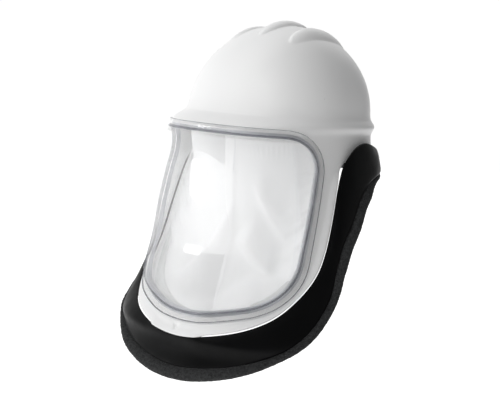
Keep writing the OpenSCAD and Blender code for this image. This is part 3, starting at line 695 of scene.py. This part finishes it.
def build_trim():
    """A curved skirt from the lip to the seam; its sections are (share of the way, height)."""
    store = ([], [])
    rows = []
    for s in np.arange(0, LOOP, 1 / 12):
        o, d = float(over(s)), TRIM_DEEP
        a, b = loop_curve(TRIM_TOP, s), loop_curve(TRIM_SEAM, s)
        lift = (1 - o) * LIP_FLARE * float(on_tab(abs(a[0])))
        section = chaikin([(0, 2.6 + 4.4 * o + lift), (0.1, d * 0.5 + 2.6 * o + lift / 2),
                           (0.26, d * 0.75 + 1.2 * o), (0.6, d), (0.995, d + 1), (0.995, d - 2),
                           (0.3, d * 0.75 - 3), (0.08, 0.4)], 3)
        if b[0] - a[0] > 180:                   # the two curves wrap past the nape at different places
            b = b - (360, 0)
        if a[0] - b[0] > 180:
            b = b + (360, 0)
        p = a + (b - a) * section[:, :1]
        rows.append(skin(p[:, 0], p[:, 1], section[:, 1]))
    rows.append(rows[0])
    add_grid(store, rows, True)
    return make("neck_trim_rubber", store, TRIM, sharp=60)


trim = build_trim()
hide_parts("neck_trim")
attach(trim, "helmet")


def build_bead():
    """Foam bead along the seam, fullest at the ears and slim at the nape, with a grainy surface."""
    store = ([], [])
    rows = []
    corners = np.radians([202.5 - 45 * k for k in range(8)])
    octagon = np.stack([np.cos(corners), np.sin(corners)], -1) / math.cos(math.radians(22.5))
    circle = chaikin(octagon, 2)
    for s in np.arange(0, LOOP, 1 / 26):
        p, n, u = loop_curve(TRIM_SEAM, s), seam_out(s), min(s, LOOP - s)
        slim = ease((u - 9.3) / 1.8)
        high = BEAD_HIGH * (1 - 0.4 * ease((u - 0.3) / 2.5) + 0.48 * ease((u - 4.5) / 3) - 0.4 * slim)
        deep = BEAD_DEEP * (1 - 0.35 * slim)
        out = 0.35 + (high / 2 - 0.35) * (1 + circle[:, 0])
        lift = 0.3 + (deep / 2 - 0.3) * (1 + circle[:, 1])
        rows.append(skin(p[0] + n[0] * out / ARC, p[1] + n[1] * out, lift))
    rows.append(rows[0])
    add_grid(store, rows, True)
    ob = make("foam_edge_bead", store, BEAD)
    grain = bpy.data.textures.new("foam_grain", "CLOUDS")
    grain.noise_scale = 0.0042
    mod = ob.modifiers.new("grain", "DISPLACE")
    mod.texture, mod.strength, mod.mid_level, mod.texture_coords = grain, 0.0011, 0.62, "LOCAL"
    return ob


bead = build_bead()
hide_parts("foam_bead")
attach(bead, "helmet")

# ---------------------------------------------------------------- fabric face seal, in its stowed position

SEAL_END, HEM_TURN, HEM_Z, SAG, FABRIC = 9.0, 64.0, -30.0, 48.0, 3.0
SEAL_LONG, SEAL_DEEP = 33.0, 180.0      # mm of cloth for one step of s, and for the whole of t
CLOTH_THICK = 0.0007                    # metres
SETTLE_FRAMES, HEM_RINGS = 26, 400

# the cloth's grid: one row against the shell's wall, then rows from the retainer to the hem
SEAL_COLS, SEAL_T = 151, np.concatenate([[0.0], np.linspace(0.012, 1, 81)])

# folds of the resting cloth: (s, t) at one end, (s, t) at the other, height in mm
FOLDS = (((-1.7, 0.10), (0.3, 0.58), 11.0), ((-0.6, 0.07), (1.5, 0.20), 10.0),
         ((1.5, 0.20), (4.3, 0.05), 10.0), ((-3.3, 0.05), (-1.7, 0.12), 8.0),
         ((2.4, 0.20), (1.1, 0.44), 9.0), ((0.2, 0.10), (1.6, 0.13), 8.0),
         ((-4.6, 0.14), (-2.8, 0.60), 4.0), ((3.6, 0.30), (2.2, 0.72), 3.5))
FOLD_EASY, FOLD_STEEP = 24.0, 6.5       # reach of a fold's two sides, in mm


def lip_line(s, size, rise):
    """The shell's lip for an array of stations, drawn in by size and raised towards the chin."""
    return np.array([curve(TRIM_TOP, abs(v)) * (np.sign(v) * size, 1) + (0, rise * (1 - abs(v) / SEAL_END))
                     for v in s])


def seal_point(s, t, off=0.0):
    """Points of the CAD seal: s runs along the trim from ear to ear, t from the frame to the hem."""
    p = lip_line(s, 0.955, 7)
    hem = np.stack([s / SEAL_END * HEM_TURN, np.full_like(s, HEM_Z)], -1)
    q = p + (hem - p) * t
    drop = -WALL - 1 - SAG * (1 - (s / SEAL_END) ** 2) * np.sin(np.radians(180 * t ** 0.8 * 0.8))
    return skin(q[:, 0], q[:, 1], drop + off)


def seal_edge(s):
    """The cloth's clamped edge, flat against the inside of the shell."""
    p = lip_line(s, 0.985, 2.5)
    return skin(p[:, 0], p[:, 1], -WALL - 0.6)


def rumple(s, t):
    """Height of the folds in the cloth, each steep on one side and easy on the other."""
    x, y = s * SEAL_LONG, t * SEAL_DEEP
    w = np.zeros_like(x)
    for one, other, height in FOLDS:
        ax, ay = one[0] * SEAL_LONG, one[1] * SEAL_DEEP
        dx, dy = other[0] * SEAL_LONG - ax, other[1] * SEAL_DEEP - ay
        length = math.hypot(dx, dy)
        along = ((x - ax) * dx + (y - ay) * dy) / length ** 2
        side = ((x - ax) * dy - (y - ay) * dx) / length
        fold = np.exp(-(side / np.where(side > 0, FOLD_EASY, FOLD_STEEP)) ** 2)
        w += height * fold * ease((along + 0.2) / 0.4) * ease((1.2 - along) / 0.4)
    return w * ease(t / 0.06) * ease((1 - t) / 0.15)


def build_seal():
    """The cloth, half a millimetre inside the middle of the CAD seal, with its clamped edge."""
    s = np.linspace(-SEAL_END, SEAL_END, SEAL_COLS)
    rows = [seal_edge(s)]
    for t in SEAL_T[1:]:
        p = seal_point(s, t, -FABRIC / 2)
        outward = p * (1, 1, 0) / np.linalg.norm(p[:, :2], axis=1, keepdims=True)
        rows.append(p - outward * 0.5)
    store = ([], [])
    add_grid(store, rows)
    return make("face_seal_cloth", store, SEAL, weld=1e-7)


def crease(ob):
    """Lifts the settled cloth along its folds."""
    s, t = np.meshgrid(np.linspace(-SEAL_END, SEAL_END, SEAL_COLS), SEAL_T)
    height = rumple(s, t).ravel() * MM
    for v, h in zip(ob.data.vertices, height):
        v.co += Vector((v.co.x, v.co.y, 0)).normalized() * float(h)


def settle(ob, hold):
    """Blender's cloth, with the points in hold kept still, then applied."""
    group = ob.vertex_groups.new(name="held")
    group.add(hold, 1.0, "REPLACE")
    mod = ob.modifiers.new("cloth", "CLOTH")
    c = mod.settings
    c.quality, c.mass, c.air_damping = 6, 0.2, 4.0
    c.tension_stiffness = c.compression_stiffness = 12.0
    c.shear_stiffness, c.bending_stiffness = 4.0, 0.4
    c.tension_damping = c.compression_damping = c.shear_damping = 8.0
    c.vertex_group_mass = "held"
    c.shrink_min = -0.03                        # the cloth is cut 3% too long
    mod.collision_settings.use_collision = False
    mod.collision_settings.use_self_collision = False
    mod.point_cache.frame_start, mod.point_cache.frame_end = 1, SETTLE_FRAMES
    sc = bpy.context.scene
    for f in range(1, SETTLE_FRAMES + 1):
        sc.frame_set(f)
    bpy.context.view_layer.objects.active = ob
    bpy.ops.object.modifier_apply(modifier=mod.name)
    sc.frame_set(1)


seal = build_seal()
last = SEAL_COLS * (len(SEAL_T) - 1)
# the clamped rows, the hem, and both ends
edge_ids = list(range(2 * SEAL_COLS)) + list(range(last, last + SEAL_COLS))
edge_ids += [r * SEAL_COLS + c for r in range(len(SEAL_T)) for c in (0, SEAL_COLS - 1)]
settle(seal, edge_ids)
crease(seal)
thick = seal.modifiers.new("thickness", "SOLIDIFY")
thick.thickness, thick.offset = CLOTH_THICK, 0
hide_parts("face_seal")
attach(seal, "helmet")


def tube(name, pts, radii, material, sides):
    """A closed tube through points in millimetres, with one radius for each point."""
    rings = []
    n = len(pts)
    for i in range(n):
        d = pts[min(i + 1, n - 1)] - pts[max(i - 1, 0)]
        d /= np.linalg.norm(d)
        side = np.cross(d, (0, 0, 1.0))
        side /= np.linalg.norm(side)
        a = np.linspace(0, 2 * np.pi, sides, endpoint=False)
        round_it = np.cos(a)[:, None] * side + np.sin(a)[:, None] * np.cross(side, d)
        rings.append(pts[i] + radii[i] * round_it)
    rings = [np.repeat(pts[:1], sides, 0)] + rings + [np.repeat(pts[-1:], sides, 0)]
    store = ([], [])
    add_grid(store, rings, True)
    return make(name, store, material)


def build_hem():
    """The gathered elastic hem: uneven puckers along it, and rounded ends."""
    s = np.linspace(-SEAL_END, SEAL_END, HEM_RINGS)
    pts = seal_point(s, 1.0, -FABRIC / 2) + (0, 0, 3.4)
    run = np.arange(HEM_RINGS)
    r = 3.0 + 0.28 * np.sin(run * 0.9) + 0.15 * np.sin(run * 2.3 + 1) + 0.1 * np.sin(run * 0.37)
    ends = np.array([0.45, 0.7, 0.88, 0.97])
    r[:4] *= ends
    r[-4:] *= ends[::-1]
    return tube("elastic_hem", pts, r, HEM, 18)


hem = build_hem()
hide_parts("face_seal_hem")
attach(hem, "helmet")

# ---------------------------------------------------------------- pads and straps

BAND_HALF, BAND_FRONT, BAND_MIDDLE = 76, 95, 3     # the headband's oval, and its middle height
NAPE_PIVOT, NAPE_TILT, NAPE_HALF = 30, 20, 74.5    # the nape band's tilt is about a line at the sides
NAPE_START, NAPE_REACH = 20, 50
PAD_RADIUS, STRAP_RADIUS, STRAP_CENTRE, STRAP_FOOT = 118, 122, -37, 112
DUCT_MIDDLE, FOAM_TURN, FOAM_RADIUS = 8, 17.2, 107.5


def pad(name, place, along, around, material, power=3.2, taper=9.0):
    """A crowned closed pad: place(w, u, v) gives points for w along it and u, v from -1 to 1 across it."""
    store = ([], [])
    rows = []
    for i in range(along + 1):
        w = i / along
        e = max(0.0, 1 - abs(2 * w - 1) ** taper) ** (1 / taper)
        a = np.linspace(0, 2 * np.pi, around, endpoint=False)
        u = np.sign(np.cos(a)) * np.abs(np.cos(a)) ** (2 / power) * e
        v = np.sign(np.sin(a)) * np.abs(np.sin(a)) ** (2 / power) * (0.25 + 0.75 * e) * (1 if e > 0 else 0)
        rows.append(place(w, u, v))
    add_grid(store, rows, True)
    ob = make(name, store, material)
    return ob


def seam(x):
    """Depth of the sewn border near both edges of a pad."""
    return 0.9 * np.exp(-((np.abs(x) - 0.8) / 0.05) ** 2)


def quilting(w, rows, depth):
    """Depth of evenly spaced sewn lines across a pad."""
    return depth * math.exp(-(((w * rows) % 1 - 0.5) / 0.06) ** 2)


def brow_place(w, u, v):
    """The brow pad inside the headband: u across the height, v through the thickness."""
    a = math.radians(-24 - 132 * w)
    mid = -2.35 + 2.1 * v * (1 - 0.16 * u ** 2) + np.where(v < 0, seam(u) + quilting(w, 11, 0.5), 0)
    return np.stack([(BAND_HALF + mid) * math.cos(a), (BAND_FRONT + mid) * math.sin(a),
                     BAND_MIDDLE + 14.8 * u], -1)


sweat = pad("brow_sweatband", brow_place, 180, 56, PAD)
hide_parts("sweatband")
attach(sweat, "helmet")

def nape_xyz(x, y, z):
    c, s = math.cos(math.radians(NAPE_TILT)), math.sin(math.radians(NAPE_TILT))
    return np.stack([x, NAPE_PIVOT + y * c + z * s, -y * s + z * c], -1)


def nape_place(w, u, v):
    """The nape pad inside the nape band, drawn level and then tilted."""
    a = math.radians(48.5 + 83 * w)
    mid = -5.05 + 2.85 * v * (1 - 0.18 * u ** 2) + np.where(v < 0, seam(u) + quilting(w, 7, 0.6), 0)
    return nape_xyz((NAPE_HALF + mid) * math.cos(a), NAPE_START + (NAPE_REACH + mid) * math.sin(a), 15.8 * u)


nape = pad("nape_cushion", nape_place, 120, 56, PAD)
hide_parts("nape_pad")
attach(nape, "nape_unit")


def build_crown_pad():
    """A round cushion under the crossing straps, with two sewn rings and six soft lobes."""
    store = ([], [])
    rows = []
    a = np.linspace(0, 2 * np.pi, 96, endpoint=False)
    for k in range(61):
        g = math.pi * (k / 60)              # from the top middle, round the rim, to the bottom middle
        r = 39.8 * math.sin(g) ** (2 / 3.2)
        h = math.copysign(abs(math.cos(g)) ** (2 / 3.0), math.cos(g))
        big = PAD_RADIUS + 3.6 * h * (1 - 0.12 * (r / 40) ** 2)
        if h < 0:
            big += 0.9 * math.exp(-((r - 31) / 1.3) ** 2) + 0.7 * math.exp(-((r - 14) / 1.3) ** 2)
        lobes = 1 - 0.02 * (1 + np.cos(6 * a)) * (r / 40) ** 2
        x, y = r * lobes * np.cos(a), r * lobes * np.sin(a)
        rows.append(np.stack([x, y, STRAP_CENTRE + np.sqrt(big ** 2 - x ** 2 - y ** 2)], -1))
    add_grid(store, rows, True)
    ob = make("crown_cushion", store, PAD)
    return ob


crown = build_crown_pad()
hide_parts("crown_pad")
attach(crown, "helmet")


def build_straps():
    """Two flat webbing straps that cross over the crown; each end is folded back and stitched."""
    store = ([], [])
    foot = math.degrees(math.acos(STRAP_FOOT / STRAP_RADIUS))
    section = [(-9.5, 0.2), (-9.3, 0), (9.3, 0), (9.5, 0.2), (9.5, 1.15), (9.3, 1.35), (-9.3, 1.35),
               (-9.5, 1.15)]
    # the strap and its two folded ends: from and to in degrees, height above the strap, share of its width
    layers = ((foot, 180 - foot, 0.0, 1.0), (foot + 0.3, foot + 12, 1.38, 0.96),
              (168 - foot, 179.7 - foot, 1.38, 0.96))
    for turn, lift in ((55, 0.0), (-55, 1.55)):
        a = math.radians(turn)
        out = np.array([math.sin(a), -math.cos(a), 0])
        side = np.array([math.cos(a), math.sin(a), 0])
        for low, high, above, half in layers:
            rows = []
            for b in np.radians(np.linspace(low, high, 140 if high - low > 20 else 30)):
                reach = [STRAP_RADIUS + lift + above + h * 0.98 for _, h in section]
                rows.append([out * r * math.cos(b) + side * w * half
                             + np.array([0, 0, STRAP_CENTRE + r * math.sin(b)])
                             for (w, _), r in zip(section, reach)])
            ends = [np.repeat([np.mean(r, 0)], len(section), 0) for r in (rows[0], rows[-1])]
            add_grid(store, [ends[0]] + rows + [ends[1]], True)
    return make("webbing_straps", store, STRAP, sharp=40)


straps = build_straps()
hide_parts("crown_straps")
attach(straps, "helmet")


def foam_place(w, u, v):
    """The silencer foam: a curved block in the duct's mouth with an egg-crate face."""
    bumps = 0.8 * np.cos(u * 9.4) * np.cos(v * 9.4) if w < 0.5 else 0
    a = np.radians(FOAM_TURN + 2.7 * w) - (0.006 * (1 + bumps) if w < 0.5 else 0)
    r = FOAM_RADIUS + 3.9 * v
    return np.stack([20.4 * u, DUCT_MIDDLE - r * np.cos(a), r * np.sin(a)], -1)


filt = pad("silencer_foam", foam_place, 24, 80, FILTER, power=6, taper=14)
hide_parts("outlet_foam")
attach(filt, "helmet")

# ---------------------------------------------------------------- CAD pieces that stay

FINISHES = (                            # node, material and width of the softened edges in mm
    ("seal_retainer", RETAINER, 0.0), ("headband", BAND, 0.35), ("suspension_keys", BAND, 0.5),
    ("nape_band", BAND, 0.35), ("ratchet_housing", BLACK, 0.8), ("ratchet_cover", BLACK, 0.4),
    ("ratchet_screws", SCREW, 0.15), ("ratchet_knob", KNOB, 0.6), ("ratchet_pinion", PINION, 0.2),
    ("inlet_spigot", INLET, 0.5), ("inlet_seal", WASHER, 0.3), ("inlet_locknut", INLET, 0.5),
    ("inlet_plenum", DUCT, 0.4), ("air_duct", DUCT, 0.3), ("duct_saddle", BLACK, 0.4),
    ("deflector_flap", FLAP, 0.25), ("deflector_pin", SCREW, 0.1))

for node, material, edge in FINISHES:
    ob = NODES[node]
    if len(ob.material_slots) == 0:
        ob.data.materials.append(material)
    for place in ob.material_slots:
        place.link = "OBJECT"
        place.material = material
    if edge:
        bev = ob.modifiers.new("soft_edges", "BEVEL")
        bev.width, bev.segments = edge * MM, 2
        bev.limit_method, bev.angle_limit = "ANGLE", math.radians(40)
        bev.harden_normals = False

# ---------------------------------------------------------------- camera, floor and light

# the photograph's view: angles in degrees, lengths in metres, the lens in millimetres
VIEW_TURN, VIEW_RISE, HELMET_LEAN, VIEW_ROLL = 34.03, 12.55, 9.07, 0.37
VIEW_DISTANCE, VIEW_CENTRE = 1.1, (0, 0, -0.060)
SENSOR, FOCAL = 36.0, 57.20544
SHIFT_X, SHIFT_Y = -0.06088, -0.08736
FLOOR_Z, FLOOR_HALF, FLOOR_WHITE = -1.8, 20.0, (0.93, 0.93, 0.93)
LIGHT_AIM = (0, -0.02, -0.08)


def camera_axes():
    """Camera position and axes in the row frame; the helmet leans back in the picture."""
    az, el, lean, roll = (math.radians(v) for v in (VIEW_TURN, VIEW_RISE, HELMET_LEAN, VIEW_ROLL))
    back = Vector((math.sin(az) * math.cos(el), -math.cos(az) * math.cos(el), math.sin(el)))
    right = Vector((math.cos(az), math.sin(az), 0))
    up = back.cross(right)
    unlean = Matrix.Rotation(lean, 3, "X")
    pos = unlean @ (Vector(VIEW_CENTRE) + back * VIEW_DISTANCE)
    rolled_right = right * math.cos(roll) - up * math.sin(roll)
    rolled_up = right * math.sin(roll) + up * math.cos(roll)
    return pos, unlean @ rolled_right, unlean @ rolled_up, unlean @ back


pos, right, up, back = camera_axes()
cam_data = bpy.data.cameras.new("camera")
cam_data.sensor_width, cam_data.lens = SENSOR, FOCAL
cam_data.shift_x, cam_data.shift_y = SHIFT_X, SHIFT_Y
cam_data.clip_start, cam_data.clip_end = 0.05, 50
cam = bpy.data.objects.new("camera", cam_data)
m = Matrix((right, up, back)).transposed().to_4x4()
m.translation = pos
cam.matrix_world = m
bpy.context.scene.collection.objects.link(cam)
bpy.context.scene.camera = cam


def falloff(nt, place, direction, start, end, low, high):
    """A value that changes smoothly from low at start to high at end, along a fixed direction."""
    dot = nt.nodes.new("ShaderNodeVectorMath")
    dot.operation = "DOT_PRODUCT"
    dot.inputs[1].default_value = direction
    nt.links.new(nt.nodes.new("ShaderNodeTexCoord").outputs[place], dot.inputs[0])
    fade = nt.nodes.new("ShaderNodeMapRange")
    fade.interpolation_type = "SMOOTHSTEP"
    for socket, value in (("From Min", start), ("From Max", end), ("To Min", low), ("To Max", high)):
        fade.inputs[socket].default_value = value
    nt.links.new(dot.outputs["Value"], fade.inputs["Value"])
    return fade.outputs["Result"]


def stage_plane():
    """A wide pale floor, far enough down to leave the underside in view, brighter towards the viewer."""
    me = bpy.data.meshes.new("floor")
    r = FLOOR_HALF
    me.from_pydata([(-r, -r, 0), (r, -r, 0), (r, r, 0), (-r, r, 0)], [], [(0, 1, 2, 3)])
    ob = bpy.data.objects.new("floor", me)
    ob.location = (0, 0, FLOOR_Z)
    bpy.context.scene.collection.objects.link(ob)
    look = Look("floor_white", FLOOR_WHITE, 0.9, spec=0.0)
    low, high = 0.12, 0.8
    glow = falloff(look.nt, "Object", -back * 0.6 - right * 0.8, -3.8, 0.0, low, high)
    look.link(glow, look.b.inputs["Emission Strength"])
    look.tint(look.span(glow, 0, 1, low, high), (0.6, 0.6, 0.6), FLOOR_WHITE)
    look.set(Emission_Color=(1, 1, 1, 1))
    me.materials.append(look.mat)


stage_plane()


def area(name, where, size, power):
    """A softbox placed by (right, up, back) metres from the object, in the photograph's view directions."""
    d = bpy.data.lights.new(name, "AREA")
    d.shape, d.size, d.size_y = "RECTANGLE", size[0], size[1]
    d.energy = power
    ob = bpy.data.objects.new(name, d)
    p = right * where[0] + up * where[1] + back * where[2]
    ob.location = p
    ob.rotation_euler = (p - Vector(LIGHT_AIM)).to_track_quat("Z", "Y").to_euler()
    bpy.context.scene.collection.objects.link(ob)
    return ob


key = area("key_left", (-0.9, 1.3, 1.65), (1.3, 1.3), 18.5)
area("left_strip", (-1.49, -0.21, 0.48), (0.26, 0.2), 0.7)
area("right_strip", (1.3, 0.3, 0.5), (0.06, 1.0), 0.03)
fill = area("front_fill", (-0.3, 0.5, 2.3), (0.8, 0.8), 7)
for soft in (key, fill):                # these two light the helmet but don't show in its lens
    soft.visible_glossy = soft.visible_transmission = False


def studio_world():
    """White sweep behind and to the left, falling off towards the right, fixed in the row frame."""
    world = bpy.data.worlds.new("world")
    bpy.context.scene.world = world
    world.use_nodes = True
    nt = world.node_tree
    sweep = (-back * 0.75 - right * 0.6 + up * 0.3).normalized()
    bg = nt.nodes["Background"]
    bg.inputs["Color"].default_value = (1, 1, 1, 1)
    nt.links.new(falloff(nt, "Generated", sweep, 0.15, 0.52, 0.16, 1.02), bg.inputs["Strength"])


studio_world()
bpy.context.scene.view_settings.view_transform = "Standard"
